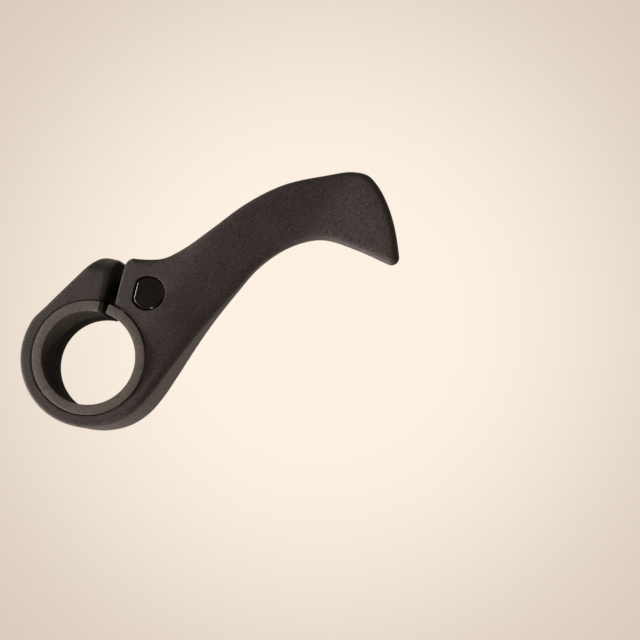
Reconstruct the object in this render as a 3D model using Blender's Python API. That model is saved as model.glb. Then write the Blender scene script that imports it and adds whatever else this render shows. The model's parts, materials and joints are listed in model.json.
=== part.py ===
"""Inner bar end for a bicycle handlebar: a split clamp ring with a curved hand wing, in one moulding.

The bar's axis is Y and the origin is the bar's centre, midway through the clamp. The wing reaches out
to +X and up to +Z. The clamp is deep, its outer walls lean in towards the back at +Y, and the wing grows
from its front, at -Y.
Outlines are worked out in millimetres as (x, z) points and become metres when a mesh is made.
"""

import math

import bmesh
import bpy
import numpy as np
from mathutils import Matrix, Vector
from mathutils.geometry import delaunay_2d_cdt

MM = 0.001

# Clearance between two pieces that touch on the real part
CONTACT_GAP = 0.1

# Handlebar, split sleeve and clamp ring
BAR_RADIUS = 11.1
SLEEVE_WALL = 2.33
SLEEVE_PROUD = 0.35
SLEEVE_LENGTH = 13.7
SLEEVE_SLIT = 1.2
SLEEVE_SLIT_LEAN = 19.0
SLEEVE_EDGE = 0.3
RING_WALL = 2.9
CLAMP_WIDTH = 22.2

# Behind the sleeve the clamp's own bore lies close to the bar
BORE_CLEARANCE = 0.1

# Lean of the clamp's outer walls towards the back, in degrees
DRAFT = 2.5

# Slot that splits the clamp: it leans towards the wing, and one face lies on the bar's centre plane
SLOT_LEAN = 14.3
SLOT_WIDTH = 2.8

# Clamp screw, its washer and the cross nut
SCREW_RADIUS = 2.0
SCREW_LENGTH = 18.0
SCREW_TIP_CHAMFER = 0.5
SCREW_END_ROOM = 1.2
HEAD_RADIUS = 3.8
HEAD_HEIGHT = 2.2
HEAD_RIM = 0.5
HEAD_TOP_RADIUS = 2.1
HEX_FLATS = 2.5
HEX_DEPTH = 1.3
WASHER_RADIUS = 4.0
WASHER_THICKNESS = 0.5
WASHER_CLEARANCE = 0.15
HOLE_CLEARANCE = 0.2
COUNTERBORE_CLEARANCE = 0.25
NUT_RADIUS = 4.0
NUT_FLAT_DEPTH = 0.65
NUT_SETBACK = 7.05
NUT_RECESS = 0.15
NUT_CHAMFER = 0.55
THREAD_CLEARANCE = 0.08

# Walls of the ears round the screw. The near ear's slanted flat runs from its top down to the ring:
# it cuts into the ring's round by EAR_FLAT, and EAR_BLEND is the radius that joins the two
SCREW_COVER = 2.2
SEAT_WALL = 2.4
EAR_RISE = 6.85
EAR_TOP_WIDTH = 3.5
EAR_FLAT = 0.25
EAR_BLEND = 8.0
EAR_ROUND = 3.0
EAR_TIP_ROUND = 1.3
SHOULDER_ROUND = 2.6
SHOULDER_HEIGHT = 23.4
SLOT_MOUTH_ROUND = 0.5

# Seen from the side, the near ear's top rounds off towards the front in a quarter of an ellipse
EAR_HUMP_HEIGHT = 5.0
EAR_HUMP_DEPTH = 12.0

# Rounded edges of the moulding
RING_EDGE = 0.7
EAR_EDGE = 1.0
EAR_INNER_EDGE = 1.5
SLOT_EDGE = 0.5
SEAT_EDGE = 0.25
WING_EDGE = 1.6
POCKET_EDGE = 0.2

# Wing outline: the root is the point on the ring that the wing grows from. Below it the ring swells
# a little before the wing's lower edge leaves it: each pair is an angle and the rise above the ring
WING_ROOT_ANGLE = 35.0
RING_SWELL = [(-68.0, 0.2), (-49.0, 0.35), (-30.0, 0.7)]
RING_LEAVE_ANGLE = -85.0
LOWER_EDGE = [
    (4.8, -13.3),
    (12.15, -3.5),
    (20.6, 6.15),
    (25.95, 11.9),
    (32.9, 16.35),
    (40.55, 18.05),
    (48.5, 15.6),
]
TIP_CORNER = (59.4, 10.5)
TIP_CORNER_ROUND = 1.9
UPPER_EDGE = [
    (58.5, 17.9),
    (56.5, 25.8),
    (54.2, 30.5),
    (52.4, 32.9),
    (49.4, 34.0),
    (41.3, 33.1),
    (31.9, 30.9),
    (23.1, 26.4),
    (15.2, 20.6),
    (7.2, 15.25),
    (4.0, 13.85),
    (0.7, 13.7),
]

# The clamp's extra depth at the back fades out along the wing, measured across the slot
WING_WIDTH = 13.0
FADE_START = 14.5
FADE_LENGTH = 17.5

# Thickness of the wing: it thins along a slanted front, first at its lower edge
TIP_THICKNESS = 4.6
TAPER_TURN = 34.0
TAPER_START = 1.5
TAPER_REACH_NEAR = 13.7
TAPER_REACH_FAR = 18.7
TAPER_NEAR = 10.0
TAPER_FAR = 35.0
TAPER_FADE_START = -19.0
TAPER_FADE_LENGTH = 30.0
TAPER_POWER = 1.2
TAPER_SOFTNESS = 0.12

# Fineness of the meshes
ARC_STEP = 6.0
EDGE_SPACING = 2.0
FACE_SPACING = 2.3
GRID_MARGIN = 0.6
STEEP_SLOPE = 0.5
STEEP_SHARE = 0.5
SLOPE_STEP = 0.1
EDGE_STEPS = 3
EASING_PASSES = 3
DOME_STEPS = 4
TURNED_SIDES = 36
SEAT_SIDES = 72
SMOOTH_ANGLE = 35.0
CLOSEST_POINTS = 0.02
LEAST_MITRE = 0.5
FILL_TOLERANCE = 1e-5
MERGE_DISTANCE = 1e-6

# How far a cutter runs past the face that it cuts
CUT_OVERRUN = 1.0

# The bore's arc left to each rounding of the slot's mouth, and the most that an edge may be rounded
# at the wing's tip corner, as shares of the corner's radius
MOUTH_SHARE = 1.6
EDGE_SHARE = 0.9

# Colours (linear) and roughness
NYLON_COLOUR = (0.045, 0.037, 0.032)
NYLON_ROUGHNESS = 0.6
SLEEVE_COLOUR = (0.075, 0.062, 0.054)
SLEEVE_ROUGHNESS = 0.55
STEEL_COLOUR = (0.02, 0.018, 0.017)
STEEL_ROUGHNESS = 0.35

# Sizes that follow from the ones above
SLEEVE_RADIUS = BAR_RADIUS + SLEEVE_WALL
SEAT_RADIUS = SLEEVE_RADIUS + CONTACT_GAP
RING_RADIUS = SEAT_RADIUS + RING_WALL
BORE_RADIUS = BAR_RADIUS + BORE_CLEARANCE
SCREW_HOLE_RADIUS = SCREW_RADIUS + HOLE_CLEARANCE
SCREW_RISE = SEAT_RADIUS + SCREW_COVER + SCREW_HOLE_RADIUS
EAR_TOP = SCREW_RISE + EAR_RISE
COUNTERBORE_RADIUS = max(WASHER_RADIUS, HEAD_RADIUS) + COUNTERBORE_CLEARANCE
WASHER_SEAT = -SEAT_WALL - CONTACT_GAP
HEAD_SEAT = WASHER_SEAT - WASHER_THICKNESS - CONTACT_GAP
SCREW_TIP = HEAD_SEAT + SCREW_LENGTH
NUT_CENTRE = SLOT_WIDTH + NUT_SETBACK
HALF_WIDTH = CLAMP_WIDTH / 2
SLEEVE_FRONT = -HALF_WIDTH - SLEEVE_PROUD
SLEEVE_BACK = SLEEVE_FRONT + SLEEVE_LENGTH


def polar(radius, degrees, centre=(0.0, 0.0)):
    """Point at an angle from +X on a circle, as (x, z)."""
    angle = math.radians(degrees)
    return (centre[0] + radius * math.cos(angle), centre[1] + radius * math.sin(angle))


def clamp_point(across, up):
    """Point given across the slot, towards the wing, and up the slot from the bar's centre."""
    lean = math.radians(SLOT_LEAN)
    x = across * math.cos(lean) + up * math.sin(lean)
    z = -across * math.sin(lean) + up * math.cos(lean)
    return (x, z)


WING_ROOT = polar(RING_RADIUS, WING_ROOT_ANGLE)


def from_root(point):
    return (WING_ROOT[0] + point[0], WING_ROOT[1] + point[1])


def smooth_step(value):
    held = np.clip(value, 0.0, 1.0)
    return held * held * (3.0 - 2.0 * held)


def soft_min(value, limit, softness):
    """The smaller of two values, with the corner between them rounded off."""
    overlap = np.maximum(softness - np.abs(value - limit), 0.0) / softness
    return np.minimum(value, limit) - overlap * overlap * softness / 4.0


def wing_thinning(x, z):
    """How far each face has moved in from the wing's full width, above an (x, z) point."""
    turn = math.radians(TAPER_TURN)
    dx = x - WING_ROOT[0]
    dz = z - WING_ROOT[1]
    down = dx * math.cos(turn) - dz * math.sin(turn) - TAPER_START
    along = dx * math.sin(turn) + dz * math.cos(turn)
    share = np.clip((along - TAPER_NEAR) / (TAPER_FAR - TAPER_NEAR), 0.0, 1.0)
    reach = TAPER_REACH_NEAR + (TAPER_REACH_FAR - TAPER_REACH_NEAR) * share
    ramp = soft_min(np.maximum(down / reach, 0.0) ** TAPER_POWER, 1.0, TAPER_SOFTNESS)
    fade = smooth_step((along - TAPER_FADE_START) / TAPER_FADE_LENGTH)
    return (WING_WIDTH - TIP_THICKNESS) / 2 * ramp * fade


def slot_place(x, z):
    """The way back from clamp_point: how far (x, z) points lie across the slot and up it."""
    lean = math.radians(SLOT_LEAN)
    across = x * math.cos(lean) - z * math.sin(lean)
    up = x * math.sin(lean) + z * math.cos(lean)
    return across, up


def front_of_moulding(x, z):
    across, up = slot_place(x, z)
    climb = np.clip((up - EAR_TOP) / EAR_HUMP_HEIGHT + 1.0, 0.0, 1.0)
    hump = EAR_HUMP_DEPTH * (1.0 - np.sqrt(1.0 - climb**2))
    return wing_thinning(x, z) + np.where(across < SLOT_WIDTH / 2, hump, 0.0) - HALF_WIDTH


def back_of_moulding(x, z):
    across, _ = slot_place(x, z)
    fade = smooth_step((across - FADE_START) / FADE_LENGTH)
    return HALF_WIDTH - (CLAMP_WIDTH - WING_WIDTH) * fade - wing_thinning(x, z)


def level(height):
    """A flat face at one height, as a function of (x, z)."""
    return lambda x, z: np.full(len(x), height)


def arc(radius, start, end, centre=(0.0, 0.0)):
    """Points along an arc, both ends included. Angles are in degrees from +X."""
    steps = max(2, math.ceil(abs(end - start) / ARC_STEP))
    return [polar(radius, start + (end - start) * i / steps, centre) for i in range(steps + 1)]


def angle_of(vector):
    return math.degrees(math.atan2(vector[1], vector[0]))


def rounded_corner(before, corner, after, radius):
    """Arc that rounds the corner of two straight runs."""
    a = np.subtract(before, corner)
    b = np.subtract(after, corner)
    a = a / np.linalg.norm(a)
    b = b / np.linalg.norm(b)
    half_angle = math.acos(float(np.clip(np.dot(a, b), -1.0, 1.0))) / 2
    middle = (a + b) / np.linalg.norm(a + b)
    centre = np.add(corner, middle * radius / math.sin(half_angle))
    leg = radius / math.tan(half_angle)
    start = angle_of(np.add(corner, a * leg) - centre)
    sweep = (angle_of(np.add(corner, b * leg) - centre) - start + 180.0) % 360.0 - 180.0
    return arc(radius, start, start + sweep, tuple(centre))


def spline(points, lead_in, lead_out, spacing):
    """Curve through all the points, tangent to the lead-in and lead-out directions at its ends."""
    knots = [np.array(p, float) for p in points]
    gaps = [float(np.linalg.norm(b - a)) for a, b in zip(knots, knots[1:])]
    slopes = [np.array(lead_in, float)]
    for before, here, after, g0, g1 in zip(knots, knots[1:], knots[2:], gaps, gaps[1:]):
        slopes.append(((here - before) / g0 * g1 + (after - here) / g1 * g0) / (g0 + g1))
    slopes.append(np.array(lead_out, float))
    curve = []
    for a, b, slope_a, slope_b, gap in zip(knots, knots[1:], slopes, slopes[1:], gaps):
        steps = max(1, round(gap / spacing))
        for i in range(steps):
            t = i / steps
            start_share = 2 * t**3 - 3 * t**2 + 1
            curve.append(
                start_share * a
                + (1 - start_share) * b
                + (t**3 - 2 * t**2 + t) * gap * slope_a
                + (t**3 - t**2) * gap * slope_b
            )
    curve.append(knots[-1])
    return [tuple(p) for p in curve]


def straight_run(start, end):
    """The points of a straight run, without its two ends."""
    steps = math.ceil(math.dist(start, end) / EDGE_SPACING * 2)
    return [tuple(np.add(start, np.subtract(end, start) * i / steps)) for i in range(1, steps)]


def with_edge(points, edge, draft=0.0):
    """Outline points, each with the radius of the moulding's edge and the wall's draft there."""
    return [(x, z, edge, draft) for x, z in points]


def eased(outline):
    """Lets edge radius and draft change gradually where two stretches of the outline meet."""
    loop = np.array(outline)
    for _ in range(EASING_PASSES):
        here = loop[:, 2:]
        loop[:, 2:] = (np.roll(here, 1, axis=0) + 2 * here + np.roll(here, -1, axis=0)) / 4
    return loop


def without_repeats(points):
    kept = [points[0]]
    for point in points[1:]:
        if math.dist(point[:2], kept[-1][:2]) > CLOSEST_POINTS:
            kept.append(point)
    if math.dist(kept[0][:2], kept[-1][:2]) < CLOSEST_POINTS:
        kept.pop()
    return kept


def unit(vector):
    return np.array(vector, float) / np.linalg.norm(vector)


def angle_at(radius, across):
    """Angle from +X of the point where a plane across the slot meets a circle round the bar."""
    up = math.sqrt(radius**2 - across**2)
    return angle_of(clamp_point(across, up))


def moulding_outline():
    """The moulding's closed outline, anticlockwise: wing, slot, bore, ear, ring and wing again."""
    slot_far_mouth = clamp_point(SLOT_WIDTH, math.sqrt(BORE_RADIUS**2 - SLOT_WIDTH**2))
    slot_near_mouth = clamp_point(0.0, BORE_RADIUS)
    lean = math.radians(SLOT_LEAN)
    shoulder = clamp_point(SLOT_WIDTH, (SHOULDER_HEIGHT + SLOT_WIDTH * math.sin(lean)) / math.cos(lean))

    upper = [from_root(p) for p in UPPER_EDGE]
    shoulder_arc = rounded_corner(upper[-1], shoulder, slot_far_mouth, SHOULDER_ROUND)
    lower = [from_root(p) for p in LOWER_EDGE]
    tip_corner = from_root(TIP_CORNER)
    tip_arc = rounded_corner(lower[-1], tip_corner, upper[0], TIP_CORNER_ROUND)

    ear_tip = clamp_point(0.0, EAR_TOP)
    ear_shoulder = clamp_point(-EAR_TOP_WIDTH, EAR_TOP)
    flat_distance = RING_RADIUS - EAR_FLAT
    flat_angle = angle_of(ear_shoulder) + math.degrees(math.acos(flat_distance / math.hypot(*ear_shoulder)))
    flat_turn = math.radians(flat_angle - (90.0 - SLOT_LEAN))
    ear_round = min(EAR_ROUND, (EAR_TOP_WIDTH - EAR_TIP_ROUND) / math.tan(flat_turn / 2))
    blend_sweep = math.degrees(math.acos((flat_distance - EAR_BLEND) / (RING_RADIUS - EAR_BLEND)))
    ring_start = flat_angle + blend_sweep
    blend_centre = polar(RING_RADIUS - EAR_BLEND, ring_start)
    blend_arc = arc(EAR_BLEND, flat_angle, ring_start, blend_centre)

    far_angle = angle_at(BORE_RADIUS, SLOT_WIDTH)
    near_angle = angle_at(BORE_RADIUS, 0.0)
    mouth = math.degrees(SLOT_MOUTH_ROUND * MOUTH_SHARE / BORE_RADIUS)
    bore_arc = arc(BORE_RADIUS, far_angle - mouth, near_angle + mouth - 360.0)
    far_corner = rounded_corner(shoulder, slot_far_mouth, bore_arc[0], SLOT_MOUTH_ROUND)
    near_corner = rounded_corner(bore_arc[-1], slot_near_mouth, ear_tip, SLOT_MOUTH_ROUND)
    near_heights = np.arange(SEAT_RADIUS, EAR_TOP - EDGE_SPACING, EDGE_SPACING / 2)
    near_face = [clamp_point(0.0, height) for height in near_heights]

    ring_end = RING_LEAVE_ANGLE + 360.0
    swell = [polar(RING_RADIUS, RING_LEAVE_ANGLE)]
    swell += [polar(RING_RADIUS + rise, angle) for angle, rise in RING_SWELL]
    leave = polar(1.0, RING_LEAVE_ANGLE + 90.0)
    to_tip = unit(np.subtract(tip_arc[0], lower[-1]))
    lower_curve = spline(swell + lower + [tip_arc[0]], leave, to_tip, EDGE_SPACING)
    up_tip = unit(np.subtract(upper[0], tip_corner))
    to_shoulder = unit(np.subtract(shoulder_arc[0], upper[-1]))
    upper_curve = spline([tip_arc[-1]] + upper + [shoulder_arc[0]], up_tip, to_shoulder, EDGE_SPACING)

    draft = math.tan(math.radians(DRAFT))
    outline = with_edge(upper_curve, WING_EDGE, draft)
    outline += with_edge(shoulder_arc + far_corner[:1], SLOT_EDGE)
    outline += with_edge(far_corner + bore_arc + near_corner, SEAT_EDGE)
    outline += with_edge(near_face, EAR_INNER_EDGE)
    outline += with_edge(rounded_corner(slot_near_mouth, ear_tip, ear_shoulder, EAR_TIP_ROUND), EAR_EDGE)
    ear_arc = rounded_corner(ear_tip, ear_shoulder, blend_arc[0], ear_round)
    outline += with_edge(ear_arc + straight_run(ear_arc[-1], blend_arc[0]), EAR_EDGE, draft)
    outline += with_edge(blend_arc + arc(RING_RADIUS, ring_start, ring_end), RING_EDGE, draft)
    outline += with_edge(lower_curve[1:-1], WING_EDGE, draft)
    outline += with_edge(tip_arc, min(WING_EDGE, TIP_CORNER_ROUND * EDGE_SHARE), draft)
    return eased(without_repeats(outline))


def pocket_outline():
    """The cross nut's pocket, clockwise because it is a hole, with its flat towards the slot."""
    nut = nut_outline(CONTACT_GAP)
    return with_edge(nut[::-1], POCKET_EDGE)


def nut_outline(clearance):
    """A circle with one flat, anticlockwise, grown by the clearance."""
    radius = NUT_RADIUS + clearance
    half_flat = math.degrees(math.acos((radius - NUT_FLAT_DEPTH) / radius))
    flat_direction = 180.0 - SLOT_LEAN
    centre = clamp_point(NUT_CENTRE, SCREW_RISE)
    return arc(radius, flat_direction + half_flat, flat_direction + 360.0 - half_flat, centre)


def inset_loop(loop, distance):
    """The loop moved inwards, towards its left, by each point's distance."""
    points = loop[:, :2]
    ahead = np.roll(points, -1, axis=0) - points
    behind = points - np.roll(points, 1, axis=0)
    ahead = ahead / np.linalg.norm(ahead, axis=1)[:, None]
    behind = behind / np.linalg.norm(behind, axis=1)[:, None]
    both = ahead + behind
    both = both / np.linalg.norm(both, axis=1)[:, None]
    inward = np.stack([-both[:, 1], both[:, 0]], axis=1)
    mitre = np.maximum(np.sum(both * ahead, axis=1), LEAST_MITRE)
    return points + inward * (distance / mitre)[:, None]


def is_inside(points, loops):
    """Which of the points lie inside the loops, by counting the edges crossed to the right of each."""
    crossings = np.zeros(len(points), int)
    for loop in loops:
        start = loop[:, None, :]
        end = np.roll(loop, -1, axis=0)[:, None, :]
        spans = (start[..., 1] > points[:, 1]) != (end[..., 1] > points[:, 1])
        rise = np.where(spans, end[..., 1] - start[..., 1], 1.0)
        reach = start[..., 0] + (points[:, 1] - start[..., 1]) / rise * (end[..., 0] - start[..., 0])
        crossings += (spans & (reach > points[:, 0])).sum(axis=0)
    return crossings % 2 == 1


def is_steep(points, height):
    """Which of the points lie where the face rises steeply."""
    x, z = points.T
    rise_x = height(x + SLOPE_STEP, z) - height(x - SLOPE_STEP, z)
    rise_z = height(x, z + SLOPE_STEP) - height(x, z - SLOPE_STEP)
    return np.hypot(rise_x, rise_z) > STEEP_SLOPE * 2 * SLOPE_STEP


def inner_points(loops, spacing, height):
    """Points for a face inside the loops: a grid, and a finer one where the face is steep."""
    coarse = grid_points(loops, spacing)
    fine = grid_points(loops, spacing * STEEP_SHARE)
    return np.concatenate([coarse[~is_steep(coarse, height)], fine[is_steep(fine, height)]])


def grid_points(loops, spacing):
    """A staggered grid of points inside the loops, none of them close to a loop."""
    everything = np.concatenate(loops)
    low = everything.min(axis=0)
    high = everything.max(axis=0)
    row_gap = spacing * math.sqrt(0.75)
    rows = []
    for row, z in enumerate(np.arange(low[1], high[1], row_gap)):
        x = np.arange(low[0] + spacing / 2 * (row % 2), high[0], spacing)
        rows.append(np.stack([x, np.full(len(x), z)], axis=1))
    grid = np.concatenate(rows)
    grid = grid[is_inside(grid, loops)]
    nearest = np.full(len(grid), np.inf)
    for loop in loops:
        start = loop[:, None, :]
        step = np.roll(loop, -1, axis=0)[:, None, :] - start
        share = np.clip(((grid - start) * step).sum(axis=2) / (step**2).sum(axis=2), 0.0, 1.0)
        distance = np.linalg.norm(start + share[..., None] * step - grid, axis=2)
        nearest = np.minimum(nearest, distance.min(axis=0))
    return grid[nearest > spacing * GRID_MARGIN]


def moulded_mesh(name, outlines, front, back, spacing):
    """A plate with rounded edges between a front and a back face.

    The outlines are loops of (x, z, edge radius, draft) with the material on their left, and the two
    functions give each face's y above any point. Each loop climbs the rounded edges in steps, and the
    face inside the last steps is filled with triangles. A wall with a draft leans in towards the back.
    """
    loops = [np.array(outline) for outline in outlines]
    vertices = []
    faces = []
    walls = []
    for side, height in ((-1, front), (1, back)):
        last_loops = []
        last_indices = []
        for loop in loops:
            x, z, edge, draft = loop.T
            lean = draft * (back(x, z) - front(x, z)) if side > 0 else np.zeros(len(loop))
            rings = []
            for step in range(EDGE_STEPS + 1):
                angle = math.pi / 2 * step / EDGE_STEPS
                flat = inset_loop(loop, lean + edge * (1 - math.cos(angle)))
                y = height(flat[:, 0], flat[:, 1]) - side * edge * (1 - math.sin(angle))
                rings.append(list(range(len(vertices), len(vertices) + len(loop))))
                vertices += [(px, py, pz) for (px, pz), py in zip(flat, y)]
            for lower, upper in zip(rings, rings[1:]):
                faces += band(lower, upper)
            walls.append(rings[0])
            last_loops.append(flat)
            last_indices += rings[-1]
        inner = inner_points(last_loops, spacing, height) if spacing else np.zeros((0, 2))
        last_indices += range(len(vertices), len(vertices) + len(inner))
        vertices += [(px, py, pz) for (px, pz), py in zip(inner, height(inner[:, 0], inner[:, 1]))]
        faces += [tuple(last_indices[v] for v in triangle) for triangle in filled_face(last_loops, inner)]
    for front_ring, back_ring in zip(walls, walls[len(loops):]):
        faces += band(front_ring, back_ring)
    return mesh_from(name, vertices, faces)


def band(lower, upper):
    """The ring of quads between two closed rows of as many vertices."""
    pairs = zip(lower, lower[1:] + lower[:1], upper[1:] + upper[:1], upper)
    return [tuple(corners) for corners in pairs]


def filled_face(loops, inner):
    """Triangles that fill the face inside the loops, as numbers of its points: the loops' and the inner."""
    points = np.concatenate(loops + [inner])
    edges = []
    first = 0
    for loop in loops:
        count = len(loop)
        edges += [(first + i, first + (i + 1) % count) for i in range(count)]
        first += count
    filled = delaunay_2d_cdt([Vector(p) for p in points], edges, [], 0, FILL_TOLERANCE)
    origins = [sources[0] for sources in filled[3]]
    triangles = [tuple(origins[v] for v in triangle) for triangle in filled[2]]
    centres = np.array([points[list(t)].mean(axis=0) for t in triangles])
    return [triangle for triangle, kept in zip(triangles, is_inside(centres, loops)) if kept]


def mesh_from(name, vertices, faces):
    mesh = bpy.data.meshes.new(name)
    mesh.from_pydata([tuple(c * MM for c in v) for v in vertices], [], faces)
    model = bmesh.new()
    model.from_mesh(mesh)
    bmesh.ops.recalc_face_normals(model, faces=model.faces)
    model.to_mesh(mesh)
    model.free()
    return mesh


def turned_mesh(name, profile, sides=TURNED_SIDES):
    """A turned piece: (radius, across) points spun round the screw's axis, from its head to its tip.

    A profile that starts and ends on the axis gives a solid bar, and a closed one away from it a ring.
    """
    model = bmesh.new()
    points = [model.verts.new((across * MM, 0.0, radius * MM)) for radius, across in profile]
    on_axis = profile[0][0] == 0.0
    pairs = list(zip(points, points[1:]))
    if not on_axis:
        pairs.append((points[-1], points[0]))
    outline = [model.edges.new(pair) for pair in pairs]
    bmesh.ops.spin(
        model,
        geom=points + outline,
        cent=(0.0, 0.0, 0.0),
        axis=(1.0, 0.0, 0.0),
        angle=2 * math.pi,
        steps=sides,
        use_merge=True,
    )
    bmesh.ops.remove_doubles(model, verts=model.verts, dist=MERGE_DISTANCE)
    bmesh.ops.recalc_face_normals(model, faces=model.faces)
    mesh = bpy.data.meshes.new(name)
    model.to_mesh(mesh)
    model.free()
    return mesh


def screw_axis_matrix():
    """Places a piece turned round X on the screw's axis, with its zero on the slot's near face."""
    x, z = clamp_point(0.0, SCREW_RISE)
    return Matrix.Translation((x * MM, 0.0, z * MM)) @ Matrix.Rotation(math.radians(SLOT_LEAN), 4, "Y")


def finished(name, mesh, material, matrix=None):
    """Puts a mesh in the scene as a named object, shaded smooth between its crisp edges."""
    piece = bpy.data.objects.new(name, mesh)
    bpy.context.collection.objects.link(piece)
    if matrix:
        piece.matrix_world = matrix
    mesh.materials.append(material)
    mesh.shade_smooth()
    mesh.set_sharp_from_angle(angle=math.radians(SMOOTH_ANGLE))
    return piece


def cutter(name, radius, start, end, sides=TURNED_SIDES):
    """A round cutter along the screw's axis."""
    profile = [(0.0, start), (radius, start), (radius, end), (0.0, end)]
    return placed_cutter(name, turned_mesh(name, profile, sides), screw_axis_matrix())


def placed_cutter(name, mesh, matrix):
    piece = bpy.data.objects.new(name, mesh)
    bpy.context.collection.objects.link(piece)
    piece.matrix_world = matrix
    return hidden(piece)


def sleeve_seat_cutter():
    """A cutter for the sleeve's seat, along the bar, with a small chamfer at the front."""
    start = -HALF_WIDTH - CUT_OVERRUN
    profile = [
        (0.0, start),
        (SEAT_RADIUS + SEAT_EDGE + CUT_OVERRUN, start),
        (SEAT_RADIUS, SEAT_EDGE - HALF_WIDTH),
        (SEAT_RADIUS, SLEEVE_BACK + CONTACT_GAP),
        (0.0, SLEEVE_BACK + CONTACT_GAP),
    ]
    along_bar = Matrix.Rotation(math.radians(90.0), 4, "Z")
    mesh = turned_mesh("sleeve_seat_cutter", profile, SEAT_SIDES)
    return placed_cutter("sleeve_seat_cutter", mesh, along_bar)


def hidden(piece):
    piece.hide_render = True
    piece.display_type = "WIRE"
    return piece


def cut(piece, tool):
    boolean = piece.modifiers.new(tool.name, "BOOLEAN")
    boolean.operation = "DIFFERENCE"
    boolean.solver = "EXACT"
    boolean.object = tool


def plain_material(name, colour, roughness, metallic=0.0):
    material = bpy.data.materials.new(name)
    material.use_nodes = True
    shader = material.node_tree.nodes["Principled BSDF"]
    shader.inputs["Base Color"].default_value = (*colour, 1.0)
    shader.inputs["Roughness"].default_value = roughness
    shader.inputs["Metallic"].default_value = metallic
    return material


def build_wing_body():
    """Clamp ring, both ears and the hand wing: one moulding of fibre-filled nylon."""
    outlines = [moulding_outline(), pocket_outline()]
    mesh = moulded_mesh("wing_body", outlines, front_of_moulding, back_of_moulding, FACE_SPACING)
    moulded = plain_material("fibre_filled_nylon", NYLON_COLOUR, NYLON_ROUGHNESS)
    body = finished("wing_body", mesh, moulded)
    cut(body, sleeve_seat_cutter())
    hole_start = -SEAT_WALL - CUT_OVERRUN
    cut(body, cutter("screw_hole_cutter", SCREW_HOLE_RADIUS, hole_start, SCREW_TIP + SCREW_END_ROOM))
    cut(body, cutter("counterbore_cutter", COUNTERBORE_RADIUS, -RING_RADIUS, -SEAT_WALL))
    return body


def build_bar_sleeve():
    """Split sleeve between the bar and the ring: it stands a little proud of the clamp's front."""
    lean = math.radians(SLEEVE_SLIT_LEAN)
    along = np.array([math.sin(lean), math.cos(lean)])
    aside = np.array([math.cos(lean), -math.sin(lean)]) * SLEEVE_SLIT / 2

    def slit_ends(radius):
        depth = math.sqrt(radius**2 - (SLEEVE_SLIT / 2) ** 2)
        return along * depth + aside, along * depth - aside

    outer_far, outer_near = slit_ends(SLEEVE_RADIUS)
    inner_far, inner_near = slit_ends(BAR_RADIUS)
    outer = arc(SLEEVE_RADIUS, angle_of(outer_near), angle_of(outer_far) + 360.0)
    inner = arc(BAR_RADIUS, angle_of(inner_far), angle_of(inner_near) - 360.0)
    loop = np.array(with_edge(outer + inner, SLEEVE_EDGE))
    mesh = moulded_mesh("bar_sleeve", [loop], level(SLEEVE_FRONT), level(SLEEVE_BACK), None)
    return finished("bar_sleeve", mesh, plain_material("sleeve_nylon", SLEEVE_COLOUR, SLEEVE_ROUGHNESS))


def build_barrel_nut(steel):
    """Cross nut: a short round bar with one flat and a threaded hole, lying across the moulding."""
    outline = np.array(with_edge(nut_outline(0.0), NUT_CHAMFER))
    end = HALF_WIDTH - NUT_RECESS
    nut = finished("barrel_nut", moulded_mesh("barrel_nut", [outline], level(-end), level(end), None), steel)
    reach = NUT_RADIUS + CUT_OVERRUN
    thread_radius = SCREW_RADIUS + THREAD_CLEARANCE
    cut(nut, cutter("nut_thread_cutter", thread_radius, NUT_CENTRE - reach, NUT_CENTRE + reach))
    return nut


def build_clamp_bolt(steel):
    """Button-head socket screw along the clamp's screw axis."""
    dome = []
    for step in range(DOME_STEPS + 1):
        angle = math.pi / 2 * step / DOME_STEPS
        radius = HEAD_TOP_RADIUS + (HEAD_RADIUS - HEAD_TOP_RADIUS) * math.sin(angle)
        height = HEAD_RIM + (HEAD_HEIGHT - HEAD_RIM) * math.cos(angle)
        dome.append((radius, HEAD_SEAT - height))
    profile = [(0.0, HEAD_SEAT - HEAD_HEIGHT)] + dome + [
        (HEAD_RADIUS, HEAD_SEAT),
        (SCREW_RADIUS, HEAD_SEAT),
        (SCREW_RADIUS, SCREW_TIP - SCREW_TIP_CHAMFER),
        (SCREW_RADIUS - SCREW_TIP_CHAMFER, SCREW_TIP),
        (0.0, SCREW_TIP),
    ]
    bolt = finished("clamp_bolt", turned_mesh("clamp_bolt", profile), steel, screw_axis_matrix())
    socket_radius = HEX_FLATS / 2 / math.cos(math.pi / 6)
    top = HEAD_SEAT - HEAD_HEIGHT
    cut(bolt, cutter("hex_socket_cutter", socket_radius, top - CUT_OVERRUN, top + HEX_DEPTH, sides=6))
    return bolt


def build_bolt_washer(steel):
    """Flat washer that spreads the screw's load on the moulding."""
    hole = SCREW_RADIUS + WASHER_CLEARANCE
    far = WASHER_SEAT - WASHER_THICKNESS
    profile = [(hole, far), (WASHER_RADIUS, far), (WASHER_RADIUS, WASHER_SEAT), (hole, WASHER_SEAT)]
    return finished("bolt_washer", turned_mesh("bolt_washer", profile), steel, screw_axis_matrix())


def build_all():
    for old in list(bpy.data.objects):
        bpy.data.objects.remove(old, do_unlink=True)
    black_steel = plain_material("blackened_steel", STEEL_COLOUR, STEEL_ROUGHNESS, metallic=1.0)
    build_wing_body()
    build_bar_sleeve()
    build_barrel_nut(black_steel)
    build_clamp_bolt(black_steel)
    build_bolt_washer(black_steel)


build_all()
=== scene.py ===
# %% [markdown]
# A bar end is the short wing that a cyclist's palm rests on at the end of a handlebar grip. It is one
# nylon moulding: a clamp ring that is split by a slot, two ears that a screw pulls together, and the
# wing itself. A split sleeve of lighter nylon sits between the ring and the bar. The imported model
# already has every piece at its size and place, so this script gives each one its finish, and models
# the small ones again with their rounded edges and threads.

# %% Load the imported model
import json
import math

import bpy
from mathutils import Matrix, Vector


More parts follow.
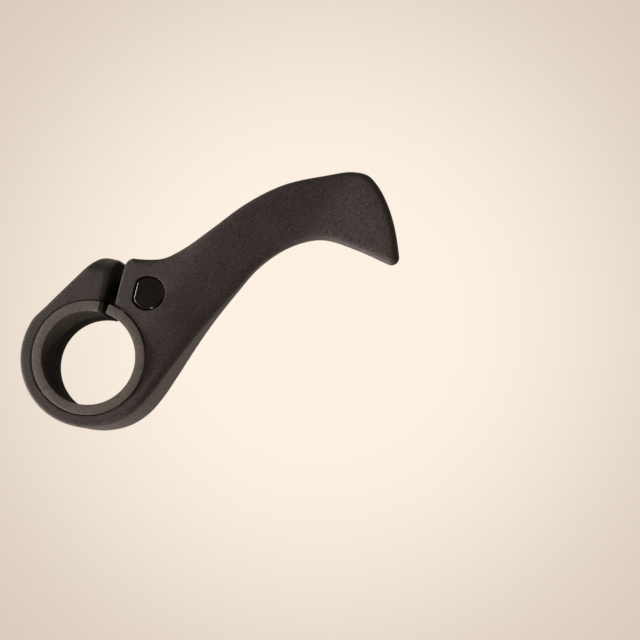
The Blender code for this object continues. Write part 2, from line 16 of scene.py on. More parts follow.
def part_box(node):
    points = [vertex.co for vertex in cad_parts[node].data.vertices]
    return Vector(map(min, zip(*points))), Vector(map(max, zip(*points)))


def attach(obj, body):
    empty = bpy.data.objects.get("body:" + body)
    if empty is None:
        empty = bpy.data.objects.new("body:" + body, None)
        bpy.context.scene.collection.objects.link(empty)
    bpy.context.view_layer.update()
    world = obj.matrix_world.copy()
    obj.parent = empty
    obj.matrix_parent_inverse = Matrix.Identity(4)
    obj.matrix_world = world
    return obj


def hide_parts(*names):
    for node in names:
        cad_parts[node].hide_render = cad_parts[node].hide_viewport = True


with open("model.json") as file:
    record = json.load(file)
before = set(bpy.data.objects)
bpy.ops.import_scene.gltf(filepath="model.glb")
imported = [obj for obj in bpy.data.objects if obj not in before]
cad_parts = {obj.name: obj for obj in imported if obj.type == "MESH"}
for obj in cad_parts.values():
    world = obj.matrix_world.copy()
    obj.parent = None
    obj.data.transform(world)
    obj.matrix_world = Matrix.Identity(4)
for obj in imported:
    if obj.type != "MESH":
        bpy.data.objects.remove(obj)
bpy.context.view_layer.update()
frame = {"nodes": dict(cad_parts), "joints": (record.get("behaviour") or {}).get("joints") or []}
MM = 0.001

joints = {joint["name"]: joint for joint in frame["joints"]}
screw_point = Vector(joints["screw_turn"]["pos_m"])
screw_out = Vector(joints["screw_turn"]["axis"]).normalized()
screw_in = -screw_out
along_screw = screw_in.to_track_quat("Z", "Y")

# %% [markdown]
# Most pieces here start the same way: a primitive is added at its place, and its faces are picked by
# where they lie or how they face. A few short helpers keep that readable. The faces are picked in
# object mode, because a mesh's selection can be written there and is taken over into edit mode.

# %% Helpers for modelling
def select_only(piece):
    """Leaves one object selected and active, which is what every operator below works on."""
    if bpy.context.mode != "OBJECT":
        bpy.ops.object.mode_set(mode="OBJECT")
    bpy.ops.object.select_all(action="DESELECT")
    piece.select_set(True)
    bpy.context.view_layer.objects.active = piece


def begin(name):
    """Names the primitive that was just added."""
    piece = bpy.context.object
    piece.name = name
    piece.data.name = name
    return piece


def edit_all():
    """Enters edit mode with the whole mesh selected."""
    bpy.ops.object.mode_set(mode="EDIT")
    bpy.ops.mesh.select_all(action="SELECT")


def stop_editing():
    """Goes back to object mode, which writes the edits to the mesh."""
    bpy.ops.object.mode_set(mode="OBJECT")


def pick_faces(piece, test):
    """Selects the faces that pass a test of their middle and normal, and enters edit mode."""
    select_only(piece)
    mesh = piece.data
    for elements in (mesh.vertices, mesh.edges, mesh.polygons):
        for element in elements:
            element.select = False
    chosen = [face for face in mesh.polygons if test(face)]
    for face in chosen:
        face.select = True
    bpy.ops.object.mode_set(mode="EDIT")
    bpy.ops.mesh.select_mode(type="FACE")
    return len(chosen)


# %% [markdown]
# The last steps are shared as well. A modifier is applied at once, so that the next step works on real
# faces. A finished piece keeps its place in its mesh and its object at the origin, where a pattern on
# Object coordinates stays put, and the imported piece that it stands for is hidden.

# %% Helpers for finishing a piece
# Edges that turn by more degrees than this are corners, which a bevel rounds.
CORNER_ANGLE = 40.0


def apply_modifier(piece, kind, **settings):
    """Adds a modifier with these settings and applies it at once."""
    select_only(piece)
    modifier = piece.modifiers.new(kind.lower(), kind)
    for setting, value in settings.items():
        setattr(modifier, setting, value)
    bpy.ops.object.modifier_apply(modifier=modifier.name)


def bevel_corners(piece, width, steps):
    """Rounds the edges of a piece that are corners."""
    limit = math.radians(CORNER_ANGLE)
    apply_modifier(piece, "BEVEL", width=width, segments=steps, limit_method="ANGLE", angle_limit=limit)


def cut_with(piece, tool):
    """Cuts one closed mesh out of another and throws the tool away."""
    apply_modifier(piece, "BOOLEAN", operation="DIFFERENCE", solver="EXACT", object=tool)
    bpy.data.objects.remove(tool, do_unlink=True)


def settle(piece, smooth_angle):
    """Applies the piece's place to its mesh and shades it smooth between its sharp edges."""
    select_only(piece)
    bpy.ops.object.transform_apply(location=True, rotation=True, scale=True)
    bpy.ops.object.shade_smooth_by_angle(angle=math.radians(smooth_angle))
    print(piece.name, "has", len(piece.data.polygons), "faces")


def hand_over(piece, node, body):
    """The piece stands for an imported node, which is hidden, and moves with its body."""
    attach(piece, body)
    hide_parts(node)


# %% [markdown]
# The photograph was taken with a long lens from a little to the right of the clamp and slightly below
# it, so that the ring's bore shows its far edge. The camera stands on a line through the middle of the
# picture, at the angles that were measured from the bore's two ends.

# %% Camera
VIEW_TARGET = Vector((0.053685, -0.0046, 0.008751))
VIEW_AZIMUTH = math.radians(7.424)
VIEW_ELEVATION = math.radians(-6.685)
VIEW_DISTANCE = 0.75
FOCAL_IN_PIXELS = 3210
PICTURE_PIXELS = 640
SENSOR_WIDTH = 36.0
NEAREST_SEEN = 0.01

view_back = Vector((
    math.sin(VIEW_AZIMUTH) * math.cos(VIEW_ELEVATION),
    -math.cos(VIEW_AZIMUTH) * math.cos(VIEW_ELEVATION),
    math.sin(VIEW_ELEVATION),
))
bpy.ops.object.camera_add(location=VIEW_TARGET + view_back * VIEW_DISTANCE)
camera = bpy.context.object
camera.rotation_euler = view_back.to_track_quat("Z", "Y").to_euler()
camera.data.sensor_width = SENSOR_WIDTH
camera.data.lens = FOCAL_IN_PIXELS / PICTURE_PIXELS * SENSOR_WIDTH
camera.data.clip_start = NEAREST_SEEN
bpy.context.scene.camera = camera
bpy.context.scene.view_settings.view_transform = "Standard"
print("camera at", [round(c, 3) for c in camera.location], "lens", round(camera.data.lens, 1), "mm")

# %% [markdown]
# A material is a tree of nodes that are linked by their sockets. Each helper here adds one kind of
# node and takes either another node's socket or a plain value for each input, so that a whole tree
# reads as a short list of steps. Written out link by link, it would be far longer.

# %% Helpers for materials
def feed(tree, socket, value):
    """Links another node's socket to this input, or writes a plain value in it."""
    if isinstance(value, bpy.types.NodeSocket):
        tree.links.new(value, socket)
    else:
        socket.default_value = value


def new_material(name):
    """A material whose tree holds only its output, and the socket there that takes a shader."""
    material = bpy.data.materials.new(name)
    material.use_nodes = True
    tree = material.node_tree
    tree.nodes.clear()
    return material, tree, tree.nodes.new("ShaderNodeOutputMaterial").inputs["Surface"]


def place_on_piece(tree):
    """The Object coordinates of the point that is shaded."""
    return tree.nodes.new("ShaderNodeTexCoord").outputs["Object"]


def worked_out(tree, kind, operation, *values):
    """The outputs of a Math or VectorMath node."""
    node = tree.nodes.new("ShaderNode" + kind)
    node.operation = operation
    for socket, value in zip(node.inputs, values):
        feed(tree, socket, value)
    return node.outputs


def stretched(tree, value, low, high, interpolation="LINEAR"):
    """Stretches the range from low to high so that it runs from 0 to 1."""
    node = tree.nodes.new("ShaderNodeMapRange")
    node.interpolation_type = interpolation
    for socket_name, given in (("Value", value), ("From Min", low), ("From Max", high)):
        feed(tree, node.inputs[socket_name], given)
    return node.outputs["Result"]


def mixed(tree, share, first, second):
    """Goes from the first colour to the second as the share goes from 0 to 1."""
    node = tree.nodes.new("ShaderNodeMix")
    node.data_type = "RGBA"
    feed(tree, node.inputs["Factor"], share)
    for socket_name, colour in (("A", first), ("B", second)):
        feed(tree, node.inputs[socket_name], (*colour, 1.0) if isinstance(colour, tuple) else colour)
    return node.outputs["Result"]


# %% [markdown]
# The part floats on a warm off-white page that darkens a little towards its corners. Camera,
# reflection and transmission rays see the page's colour, and every other ray passes through it, so
# that it adds no light. Its tone falls off with the distance from the middle of the picture.

# %% The page
PAGE_MIDDLE = (0.975, 0.875, 0.76)
PAGE_CORNER = (0.68, 0.585, 0.505)
# Distances in metres from the middle of the page, between which it darkens.
FADE_START = 0.10
FADE_END = 0.46
BACKDROP_RADIUS = 2.2

page, tree, surface = new_material("page")
page_middle = VIEW_TARGET - view_back * math.sqrt(BACKDROP_RADIUS**2 - VIEW_TARGET.length**2)
from_middle = worked_out(tree, "VectorMath", "DISTANCE", place_on_piece(tree), page_middle)["Value"]
fade = stretched(tree, from_middle, FADE_START, FADE_END, "SMOOTHSTEP")
glow = tree.nodes.new("ShaderNodeEmission")
feed(tree, glow.inputs["Color"], mixed(tree, fade, PAGE_MIDDLE, PAGE_CORNER))
clear = tree.nodes.new("ShaderNodeBsdfTransparent")

ray = tree.nodes.new("ShaderNodeLightPath").outputs
seen = worked_out(tree, "Math", "MAXIMUM", ray["Is Camera Ray"], ray["Is Glossy Ray"])["Value"]
seen = worked_out(tree, "Math", "MAXIMUM", seen, ray["Is Transmission Ray"])["Value"]
choose = tree.nodes.new("ShaderNodeMixShader")
for socket, value in zip(choose.inputs, (seen, clear.outputs["BSDF"], glow.outputs["Emission"])):
    feed(tree, socket, value)
feed(tree, surface, choose.outputs["Shader"])
print("page material has", len(tree.nodes), "nodes")

# %% [markdown]
# The page is painted on the inside of a large sphere round the part, so that it fills the picture from
# any side. The floor is a plain pale disc far below the part, where its shadow falls.

# %% Backdrop and floor
BACKDROP_SEGMENTS = 96
BACKDROP_RINGS = 48
FLOOR_HEIGHT = -0.5
FLOOR_RADIUS = 2.1
FLOOR_SIDES = 96
FLOOR_COLOUR = (0.80, 0.73, 0.65, 1.0)
FLOOR_ROUGHNESS = 0.9

bpy.ops.mesh.primitive_uv_sphere_add(
    segments=BACKDROP_SEGMENTS, ring_count=BACKDROP_RINGS, radius=BACKDROP_RADIUS,
)
backdrop = begin("backdrop")
edit_all()
bpy.ops.mesh.flip_normals()
stop_editing()
bpy.ops.object.shade_smooth()
backdrop.data.materials.append(page)

floor_paint, tree, surface = new_material("floor")
shader = tree.nodes.new("ShaderNodeBsdfPrincipled")
shader.inputs["Base Color"].default_value = FLOOR_COLOUR
shader.inputs["Roughness"].default_value = FLOOR_ROUGHNESS
feed(tree, surface, shader.outputs["BSDF"])
bpy.ops.mesh.primitive_circle_add(
    vertices=FLOOR_SIDES, radius=FLOOR_RADIUS, fill_type="NGON", location=(0, 0, FLOOR_HEIGHT),
)
floor = begin("floor")
bpy.ops.object.transform_apply(location=True)
floor.data.materials.append(floor_paint)
print("backdrop of", BACKDROP_RADIUS, "m and a floor at", FLOOR_HEIGHT, "m")

# %% [markdown]
# In the photograph the light comes in low from the left: the clamp's left side and underside are
# bright, and faces that turn to the right go dark. One large lamp stands there. A small one close
# under the ring brightens its lower edge, two small ones stand where the chamfer of the nut mirrors
# them, and one behind lights the back, which the photograph doesn't show. Reflections leave the rear
# lamp out, because at a flat angle it would draw a white line along the wing. A weak even sky fills
# the shadows, so that a colour renders about as it is written.

# %% Light
SKY_COLOUR = (1.0, 0.97, 0.93, 1.0)
SKY_LEVEL = 0.10
LOOK_AT = Vector((0.03, 0.0, 0.01))
# Name, place and size in metres, power in watts, and whether reflections show the lamp.
LAMPS = [
    ("key", (-1.05, -0.26, -0.45), 0.45, 42.0, True),
    ("under", (-0.16, 0.02, -0.26), 0.10, 0.7, True),
    ("left glint", (-0.88, -0.36, 0.33), 0.14, 5.0, True),
    ("rear", (-0.35, 0.95, 0.35), 0.50, 9.0, False),
    ("low glint", (0.05, -0.35, -0.45), 0.05, 0.45, True),
]

world = bpy.data.worlds.new("even sky")
bpy.context.scene.world = world
world.use_nodes = True
sky = world.node_tree.nodes["Background"]
sky.inputs["Color"].default_value = SKY_COLOUR
sky.inputs["Strength"].default_value = SKY_LEVEL
for lamp_name, spot, size, watts, in_reflections in LAMPS:
    bpy.ops.object.light_add(type="AREA", location=spot)
    lamp = bpy.context.object
    lamp.name = lamp_name
    lamp.rotation_euler = (Vector(spot) - LOOK_AT).to_track_quat("Z", "Y").to_euler()
    lamp.data.size = size
    lamp.data.energy = watts
    lamp.visible_camera = False
    lamp.visible_glossy = in_reflections
print("lamps:", [lamp[0] for lamp in LAMPS])

# %% [markdown]
# The moulding's finish comes from the tool it was made in: a fine, even grain, with a slow drift in
# tone where the glass fibre lies nearer the surface. Its edges are painted a little lighter, as a painted
# highlight of the light on their rounding. These effects are node groups, because the sleeve and the
# steel use them too, at other sizes. Each group has named inputs with default values and puts out one or
# two masks.

# %% Grain, drift and a painted edge highlight
# Noise crowds round 0.5. Stretching a narrower range of it gives stronger specks.
SPECK_RANGE = (0.38, 0.62)
DRIFT_RANGE = (0.3, 0.7)


def new_group(name, inputs, outputs):
    """A group of number sockets, its inputs as seen from inside, and the outputs it has to feed."""
    group = bpy.data.node_groups.new(name, "ShaderNodeTree")
    for socket_name, value in inputs.items():
        socket = group.interface.new_socket(socket_name, in_out="INPUT", socket_type="NodeSocketFloat")
        socket.default_value = value
    for socket_name in outputs:
        group.interface.new_socket(socket_name, in_out="OUTPUT", socket_type="NodeSocketFloat")
    given = group.nodes.new("NodeGroupInput").outputs
    result = group.nodes.new("NodeGroupOutput").inputs
    return group, given, result


def noise(tree, scale, detail, roughness):
    """A noise pattern that is fixed to the piece, with its scale from a socket."""
    node = tree.nodes.new("ShaderNodeTexNoise")
    node.inputs["Detail"].default_value = detail
    node.inputs["Roughness"].default_value = roughness
    feed(tree, node.inputs["Vector"], place_on_piece(tree))
    feed(tree, node.inputs["Scale"], scale)
    return node.outputs["Fac"]


grain_sizes = {"Grains per metre": 3000.0, "Specks per metre": 5200.0}
grain_group, given, result = new_group("moulded grain", grain_sizes, ["Height", "Speck"])
grains = noise(grain_group, given["Grains per metre"], detail=3.0, roughness=0.6)
specks = noise(grain_group, given["Specks per metre"], detail=2.0, roughness=0.7)
feed(grain_group, result["Height"], grains)
feed(grain_group, result["Speck"], stretched(grain_group, specks, *SPECK_RANGE))

drift_group, given, result = new_group("tone drift", {"Patches per metre": 90.0}, ["Drift"])
patches = noise(drift_group, given["Patches per metre"], detail=4.0, roughness=0.55)
feed(drift_group, result["Drift"], stretched(drift_group, patches, *DRIFT_RANGE))

# Edges that Pointiness finds are painted lighter, as a highlight.
edge_highlight_group, given, result = new_group("painted edge highlight", {"Start": 0.52, "Full": 0.60}, ["Rubbed"])
pointiness = edge_highlight_group.nodes.new("ShaderNodeNewGeometry").outputs["Pointiness"]
feed(edge_highlight_group, result["Rubbed"], stretched(edge_highlight_group, pointiness, given["Start"], given["Full"]))
print("groups:", grain_group.name, "/", drift_group.name, "/", edge_highlight_group.name)

# %% [markdown]
# In the clamp the bore and the sides of the slot are painted dark as shade, and they stay dull: no hand
# polishes them, and there the walls face each other, so a sheen would mirror the bright page. Painting
# those faces one by one would need a second material. A mask of where a point lies does it in the same
# one: nearer to the bar's axis than the bore's wall, or within half the slot's width of its middle.

# %% Inner walls with painted shade
# Leaves out the Y part of a place, which runs along the bar.
ACROSS_BAR = (1.0, 0.0, 1.0)
# The bore's radius and half the slot are taken a little larger than they are, so that the walls
# themselves lie inside the mask. The slot's foot is the height from which its sides are counted.
wall_places = {
    "Bore radius": 11.5 * MM,
    "Slot middle": 1.4 * MM,
    "Slot half": 1.55 * MM,
    "Slot foot": 10.0 * MM,
}

inner_shade_group, given, result = new_group("painted inner shade", wall_places, ["Inside"])
place = place_on_piece(inner_shade_group)
flat_place = worked_out(inner_shade_group, "VectorMath", "MULTIPLY", place, ACROSS_BAR)["Vector"]
from_bar = worked_out(inner_shade_group, "VectorMath", "LENGTH", flat_place)["Value"]
in_bore = worked_out(inner_shade_group, "Math", "LESS_THAN", from_bar, given["Bore radius"])["Value"]

on_screw_axis = worked_out(inner_shade_group, "VectorMath", "DOT_PRODUCT", place, screw_in)["Value"]
slot_limits = (given["Slot middle"], given["Slot half"])
by_slot = worked_out(inner_shade_group, "Math", "COMPARE", on_screw_axis, *slot_limits)["Value"]
upright = inner_shade_group.nodes.new("ShaderNodeSeparateXYZ")
feed(inner_shade_group, upright.inputs["Vector"], place)
above = worked_out(inner_shade_group, "Math", "GREATER_THAN", upright.outputs["Z"], given["Slot foot"])["Value"]
in_slot = worked_out(inner_shade_group, "Math", "MULTIPLY", by_slot, above)["Value"]
feed(inner_shade_group, result["Inside"], worked_out(inner_shade_group, "Math", "MAXIMUM", in_bore, in_slot)["Value"])
print("painted inner shade in mm:", {name: round(size / MM, 2) for name, size in wall_places.items()})

# %% [markdown]
# A material then needs only its own colours and sizes. The colour goes from a dark to a light tone
# with the specks and the drift, the edges are mixed towards a lighter tone as a painted highlight, and
# the inner walls towards a dark one as a painted shade. The grain's height goes to a Bump node, and the
# same specks change the roughness a little. Nylon gets a low gloss, because the page would otherwise lift
# every tone on a matt moulding.

# %% A finish made from the groups
# The colour of the painted shade on the bore and slot walls.
INNER_SHADE_TONE = (0.022, 0.018, 0.015)


def add_group(tree, group, **values):
    """The outputs of a group that is placed in a material with its own values."""
    node = tree.nodes.new("ShaderNodeGroup")
    node.node_tree = group
    for name, value in values.items():
        node.inputs[name.replace("_", " ").capitalize()].default_value = value
    return node.outputs


def moulded_finish(
    name, dark, light, highlight_tone, highlight_share, roughness, gloss, grain_height, grains, specks, patches,
    speck_share, metallic=0.0, **walls,
):
    """Nylon or blackened steel with grain, specks, drift, a painted highlight on edges and painted shade on
    inner walls.
    """
    material, tree, surface = new_material(name)
    grain = add_group(tree, grain_group, grains_per_metre=grains, specks_per_metre=specks)
    drift = add_group(tree, drift_group, patches_per_metre=patches)["Drift"]
    edge_highlight = add_group(tree, edge_highlight_group)["Rubbed"]
    inside = add_group(tree, inner_shade_group, **walls)["Inside"]

    slow = worked_out(tree, "Math", "MULTIPLY", drift, 1.0 - speck_share)["Value"]
    blend = worked_out(tree, "Math", "MULTIPLY_ADD", grain["Speck"], speck_share, slow)["Value"]
    tone = mixed(tree, blend, dark, light)
    # Edges are painted lighter as a highlight.
    tone = mixed(tree, worked_out(tree, "Math", "MULTIPLY", edge_highlight, highlight_share)["Value"], tone, highlight_tone)
    # The inner walls are painted dark as shade.
    tone = mixed(tree, inside, tone, INNER_SHADE_TONE)

    smooth, dull = roughness
    rough = worked_out(tree, "Math", "MULTIPLY_ADD", grain["Speck"], dull - smooth, smooth)["Value"]
    rough = worked_out(tree, "Math", "MAXIMUM", rough, inside)["Value"]
    bump = tree.nodes.new("ShaderNodeBump")
    feed(tree, bump.inputs["Distance"], grain_height)
    feed(tree, bump.inputs["Height"], grain["Height"])

    shader = tree.nodes.new("ShaderNodeBsdfPrincipled")
    for socket_name, value in (
        ("Base Color", tone), ("Roughness", rough), ("Normal", bump.outputs["Normal"]),
        ("Metallic", metallic), ("Specular IOR Level", gloss),
    ):
        feed(tree, shader.inputs[socket_name], value)
    feed(tree, surface, shader.outputs["BSDF"])
    print(name, "has", len(tree.nodes), "nodes")
    return material


# %% [markdown]
# Three finishes cover the whole part. The wing is charcoal nylon with a slight sheen. The sleeve is a
# softer, lighter nylon without any, and its slit takes the place of the slot in the painted shade of
# the inner walls. The nut, screw and washer are blackened steel: dark, smooth and metallic, with a finer
# and flatter grain, and where the steel lies inside the mask, as the screw does in the slot, it is painted
# dark as shade.

# %% The three finishes
# A little more than half the slit's width.
SLIT_WALL_HALF = 0.65 * MM

nylon = moulded_finish(
    "charcoal nylon", dark=(0.030, 0.0235, 0.0212), light=(0.086, 0.069, 0.0625),
    highlight_tone=(0.11, 0.095, 0.08), highlight_share=0.2, roughness=(0.42, 0.56), gloss=0.14,
    grain_height=0.05 * MM, grains=2600.0, specks=2700.0, patches=70.0, speck_share=0.75,
)
# The sleeve's slit walls get the same painted shade as the slot.
sleeve_nylon = moulded_finish(
    "grey sleeve nylon", dark=(0.086, 0.072, 0.061), light=(0.142, 0.121, 0.103),
    highlight_tone=(0.17, 0.15, 0.13), highlight_share=0.4, roughness=(0.60, 0.72), gloss=0.0,
    grain_height=0.03 * MM, grains=2600.0, specks=2400.0, patches=120.0, speck_share=0.7,
    bore_radius=0.0, slot_middle=0.0, slot_half=SLIT_WALL_HALF,
)
# The screw, where it crosses the slot, is painted dark as shade by the same mask.
black_steel = moulded_finish(
    "blackened steel", dark=(0.009, 0.007, 0.006), light=(0.020, 0.017, 0.015),
    highlight_tone=(0.06, 0.055, 0.05), highlight_share=0.3, roughness=(0.13, 0.20), gloss=0.5, metallic=1.0,
    grain_height=0.006 * MM, grains=5000.0, specks=2600.0, patches=300.0, speck_share=0.6,
)

# %% [markdown]
# The wing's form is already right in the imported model, but its mesh is a heap of loose flat triangles.
# Modelling it a second time would put its size at risk, so a copy is merged, its triangles are joined
# into quads where they can be, and its crisp edges are creased. Two rounds of subdivision then turn
# the facets into a smooth moulded skin.

# %% Wing
MERGE_DISTANCE = 0.004 * MM
CRISP_ANGLE = 36.0
QUAD_BEND = math.radians(25)
QUAD_SKEW = math.radians(50)
SMOOTHING_ROUNDS = 2

wing = bpy.data.objects.new("moulded_wing", frame["nodes"]["wing_body"].data.copy())
bpy.context.collection.objects.link(wing)
select_only(wing)
wing.data.materials.clear()
edit_all()
bpy.ops.mesh.remove_doubles(threshold=MERGE_DISTANCE)
bpy.ops.mesh.tris_convert_to_quads(face_threshold=QUAD_BEND, shape_threshold=QUAD_SKEW)
bpy.ops.mesh.select_mode(type="EDGE")
bpy.ops.mesh.select_all(action="DESELECT")
bpy.ops.mesh.edges_select_sharp(sharpness=math.radians(CRISP_ANGLE))
bpy.ops.transform.edge_crease(value=1.0)
stop_editing()
apply_modifier(wing, "SUBSURF", levels=SMOOTHING_ROUNDS, render_levels=SMOOTHING_ROUNDS)
wing.data.materials.append(nylon)
settle(wing, CRISP_ANGLE)
hand_over(wing, "wing_body", "clamp")

# %% [markdown]
# The sleeve is a short tube with one slit, so that it can close on the bar. An open cylinder is cut by
# two planes, the strip between them is deleted, and Solidify gives the rest its wall. A bevel then
# rounds every edge, the slit's ends too. A Boolean would cut the slit as well, but planes cut it before
# there is a wall, which keeps the mesh even and easy to bevel.

# %% Sleeve
BAR_RADIUS = 11.1 * MM
SLEEVE_WALL = 2.33 * MM
SLEEVE_SIDES = 144
SLEEVE_EDGE = 0.3 * MM
SLEEVE_EDGE_STEPS = 4
SLIT_WIDTH = 1.2 * MM
SLIT_LEAN = math.radians(19.0)
# The turn that lays an upright cylinder along the handlebar, which runs along Y.
ALONG_BAR = (math.pi / 2, 0.0, 0.0)
# A bisect snaps to vertices this near. Blender's own 0.1 mm is too much on pieces this small.
CLOSE = 0.001 * MM

sleeve_low, sleeve_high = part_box("bar_sleeve")
sleeve_width = sleeve_high[1] - sleeve_low[1]
bpy.ops.mesh.primitive_cylinder_add(
    vertices=SLEEVE_SIDES, radius=BAR_RADIUS + SLEEVE_WALL, depth=sleeve_width, end_fill_type="NOTHING",
    location=(0.0, (sleeve_high[1] + sleeve_low[1]) / 2, 0.0), rotation=ALONG_BAR,
)
sleeve = begin("split_sleeve")
bpy.ops.object.transform_apply(location=True, rotation=True)
slit_along = Vector((math.sin(SLIT_LEAN), 0.0, math.cos(SLIT_LEAN)))
slit_across = Vector((math.cos(SLIT_LEAN), 0.0, -math.sin(SLIT_LEAN)))
for side in (-1, 1):
    edit_all()
    side_middle = slit_across * side * SLIT_WIDTH / 2
    bpy.ops.mesh.bisect(plane_co=side_middle, plane_no=slit_across, threshold=CLOSE)
    stop_editing()


def in_slit(face):
    """Tells whether a face lies between the slit's two planes, on the ears' side of the bar."""
    return face.center.dot(slit_along) > 0 and abs(face.center.dot(slit_across)) < SLIT_WIDTH / 2


strip = pick_faces(sleeve, in_slit)
print("faces cut out for the slit:", strip)
bpy.ops.mesh.delete(type="FACE")
stop_editing()
apply_modifier(sleeve, "SOLIDIFY", thickness=SLEEVE_WALL, offset=-1.0, use_even_offset=True)
bevel_corners(sleeve, SLEEVE_EDGE, SLEEVE_EDGE_STEPS)
sleeve.data.materials.append(sleeve_nylon)
settle(sleeve, CORNER_ANGLE)
hand_over(sleeve, "bar_sleeve", "clamp")

# %% [markdown]
# The cross nut is a short bar with one flat, which turns towards the slot and stops it from spinning.
# A bisect cuts the flat, and the screw's hole is drilled through the bar. Each end has a chamfer that
# catches the light as one thin line. A bevel could make it, but an inset that also lifts the end face
# sets its width and its height apart, and keeps it even round the flat.

# %% Cross nut
NUT_RADIUS = 4.0 * MM
NUT_SIDES = 120
NUT_FLAT_DEPTH = 0.65 * MM
# How far in along the screw the nut lies from the joint's point.
NUT_CENTRE = 9.85 * MM
NUT_CHAMFER_WIDTH = 0.6 * MM
NUT_CHAMFER_HEIGHT = 0.34 * MM
THREAD_HOLE = 2.08 * MM
THREAD_HOLE_SIDES = 48
# A face whose normal has a Y part above this is an end of the nut.
END_FACING = 0.9
# The chamfer leans by about 30 degrees, and it stays crisp if only smaller turns are shaded smooth.
NUT_SMOOTH_ANGLE = 20

nut_low, nut_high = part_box("barrel_nut")
nut_centre = screw_point + screw_in * NUT_CENTRE
nut_length = nut_high[1] - nut_low[1]
bpy.ops.mesh.primitive_cylinder_add(
    vertices=NUT_SIDES, radius=NUT_RADIUS, depth=nut_length - 2 * NUT_CHAMFER_HEIGHT,
    end_fill_type="NGON", location=nut_centre, rotation=ALONG_BAR,
)
nut = begin("cross_nut")
bpy.ops.object.transform_apply(location=True, rotation=True)
edit_all()
flat_middle = nut_centre + screw_out * (NUT_RADIUS - NUT_FLAT_DEPTH)
bpy.ops.mesh.bisect(
    plane_co=flat_middle, plane_no=screw_out, use_fill=True, clear_outer=True, threshold=CLOSE,
)
ends = pick_faces(nut, lambda face: abs(face.normal.y) > END_FACING)
print("ends of the nut:", ends)
bpy.ops.mesh.inset(thickness=NUT_CHAMFER_WIDTH, depth=NUT_CHAMFER_HEIGHT)
stop_editing()
bpy.ops.mesh.primitive_cylinder_add(
    vertices=THREAD_HOLE_SIDES, radius=THREAD_HOLE, depth=4 * NUT_RADIUS, location=nut_centre,
    rotation=along_screw.to_euler(),
)
cut_with(nut, begin("nut_drill"))
nut.data.materials.append(black_steel)
settle(nut, NUT_SMOOTH_ANGLE)
hand_over(nut, "barrel_nut", "clamp")

# %% [markdown]
# A screw is turned on a lathe, and it is modelled that way too. A profile of its half section is drawn
# by extruding one vertex from point to point, and Spin turns it round the axis. The thread is a small
# closed profile of the same kind. Both helpers work at the origin, and the screw is moved later.

# %% Helpers for turned pieces
TURN_STEPS = 72
JOIN_DISTANCE = 0.002 * MM


def draw_profile(name, points):
    """Draws (radius, along) points as a chain of edges, by extruding one vertex from each to the next."""
    bpy.ops.mesh.primitive_plane_add(size=MM)
    piece = begin(name)
    bpy.ops.object.mode_set(mode="EDIT")
    bpy.ops.mesh.select_mode(type="VERT")
    bpy.ops.mesh.select_all(action="SELECT")
    bpy.ops.mesh.merge(type="CENTER")
    here = Vector((0.0, 0.0, 0.0))
    for index, (radius, along) in enumerate(points):
        there = Vector((radius, 0.0, along))
        if index == 0:
            bpy.ops.transform.translate(value=there - here)
        else:
            bpy.ops.mesh.extrude_region_move(TRANSFORM_OT_translate={"value": there - here})
        here = there
    stop_editing()
    return piece


def turned(name, points):
    """Spins a profile round the local Z axis and closes it."""
    piece = draw_profile(name, points)
    edit_all()
    bpy.ops.mesh.spin(steps=TURN_STEPS, angle=2 * math.pi, center=(0, 0, 0), axis=(0, 0, 1))
    bpy.ops.mesh.select_all(action="SELECT")
    bpy.ops.mesh.remove_doubles(threshold=JOIN_DISTANCE)
    bpy.ops.mesh.normals_make_consistent(inside=False)
    stop_editing()
    return piece


# %% [markdown]
# The clamp screw is a button-head socket screw. Its head and shank are one turned profile, with the
# dome as a quarter of an ellipse. The shank is drawn at the thread's root, so that the thread can be
# laid on it. A cylinder with six sides is the hexagon of the key, and a Boolean cuts it into the head.

# %% Head and shank of the clamp screw
SHANK_RADIUS = 2.0 * MM
SCREW_LENGTH = 18.0 * MM
# The underside of the head, along the screw from the joint's point. Less than nothing is further out.
HEAD_SEAT = -3.1 * MM
HEAD_RADIUS = 3.8 * MM
HEAD_HEIGHT = 2.2 * MM
HEAD_RIM = 0.5 * MM
HEAD_TOP_RADIUS = 2.1 * MM
HEX_SIDES = 6
HEX_FLATS = 2.5 * MM
HEX_DEPTH = 1.3 * MM
TIP_CHAMFER = 0.5 * MM
THREAD_DEPTH = 0.34 * MM
DOME_STEPS = 10

dome = []
for step in range(DOME_STEPS + 1):
    angle = math.pi / 2 * step / DOME_STEPS
    dome.append((
        HEAD_TOP_RADIUS + (HEAD_RADIUS - HEAD_TOP_RADIUS) * math.sin(angle),
        HEAD_SEAT - HEAD_RIM - (HEAD_HEIGHT - HEAD_RIM) * math.cos(angle),
    ))
head_top = HEAD_SEAT - HEAD_HEIGHT
root_radius = SHANK_RADIUS - THREAD_DEPTH
screw_tip = HEAD_SEAT + SCREW_LENGTH
screw = turned("socket_screw", [(0.0, head_top)] + dome + [
    (HEAD_RADIUS, HEAD_SEAT),
    (root_radius, HEAD_SEAT),
    (root_radius, screw_tip - TIP_CHAMFER),
    (root_radius - TIP_CHAMFER, screw_tip),
    (0.0, screw_tip),
])
hex_radius = HEX_FLATS / 2 / math.cos(math.pi / HEX_SIDES)
bpy.ops.mesh.primitive_cylinder_add(
    vertices=HEX_SIDES, radius=hex_radius, depth=2 * HEX_DEPTH, location=(0.0, 0.0, head_top),
)
cut_with(screw, begin("hex_key"))
print("screw is", round((screw_tip - head_top) / MM, 1), "mm long with its head")

# %% [markdown]
# The thread is a ridge with a narrow crest. The Screw modifier winds its profile along the shank, one
# pitch for each turn, which gives a true helix with an even section. Its foot sinks a little into the
# shank, so that no gap can show between the two.

# %% Thread of the clamp screw
THREAD_PITCH = 0.7 * MM
THREAD_STEPS = 36
THREAD_FOOT = 0.45 * THREAD_PITCH
THREAD_CREST = 0.06 * THREAD_PITCH
THREAD_SINK = 0.05 * MM
STEEL_SMOOTH_ANGLE = 30

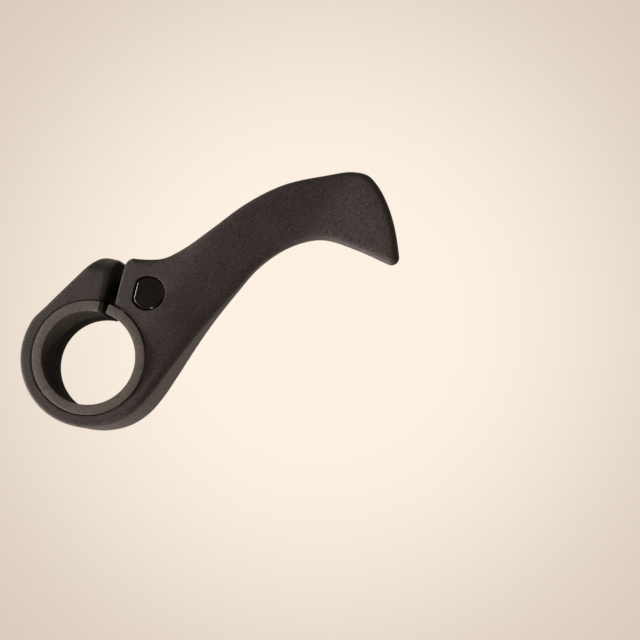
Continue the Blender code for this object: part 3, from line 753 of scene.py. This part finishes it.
foot_radius = root_radius - THREAD_SINK
thread_start = HEAD_SEAT + THREAD_PITCH
thread_turns = int((SCREW_LENGTH - TIP_CHAMFER - 2 * THREAD_PITCH) / THREAD_PITCH)
thread = draw_profile("thread", [
    (foot_radius, thread_start - THREAD_FOOT),
    (SHANK_RADIUS, thread_start - THREAD_CREST),
    (SHANK_RADIUS, thread_start + THREAD_CREST),
    (foot_radius, thread_start + THREAD_FOOT),
    (foot_radius, thread_start - THREAD_FOOT),
])
edit_all()
bpy.ops.mesh.remove_doubles(threshold=JOIN_DISTANCE)
stop_editing()
apply_modifier(
    thread, "SCREW", angle=2 * math.pi, screw_offset=THREAD_PITCH, iterations=thread_turns,
    steps=THREAD_STEPS, render_steps=THREAD_STEPS, use_merge_vertices=False,
)
edit_all()
bpy.ops.mesh.fill_holes(sides=0)
bpy.ops.mesh.select_all(action="SELECT")
bpy.ops.mesh.normals_make_consistent(inside=False)
stop_editing()
print("thread has", thread_turns, "turns")

select_only(screw)
thread.select_set(True)
bpy.ops.object.join()
screw.matrix_world = Matrix.Translation(screw_point) @ along_screw.to_matrix().to_4x4()
screw.data.materials.append(black_steel)
settle(screw, STEEL_SMOOTH_ANGLE)
hand_over(screw, "clamp_bolt", "screw")

# %% [markdown]
# The washer spreads the screw's pull on the moulding. It is stamped from sheet, so it is a flat ring
# with slightly broken edges. An open cylinder is given a thick wall by Solidify, and a small bevel
# breaks its edges.

# %% Washer
WASHER_RADIUS = 4.0 * MM
WASHER_HOLE = 2.15 * MM
WASHER_THICKNESS = 0.5 * MM
WASHER_MIDDLE = -2.75 * MM
WASHER_SIDES = 96
WASHER_EDGE = 0.08 * MM
WASHER_EDGE_STEPS = 2

bpy.ops.mesh.primitive_cylinder_add(
    vertices=WASHER_SIDES, radius=WASHER_RADIUS, depth=WASHER_THICKNESS, end_fill_type="NOTHING",
    location=screw_point + screw_in * WASHER_MIDDLE, rotation=along_screw.to_euler(),
)
washer = begin("screw_washer")
bpy.ops.object.transform_apply(location=True, rotation=True)
apply_modifier(washer, "SOLIDIFY", thickness=WASHER_RADIUS - WASHER_HOLE, offset=-1.0, use_even_offset=True)
bevel_corners(washer, WASHER_EDGE, WASHER_EDGE_STEPS)
washer.data.materials.append(black_steel)
settle(washer, STEEL_SMOOTH_ANGLE)
hand_over(washer, "bolt_washer", "washer")
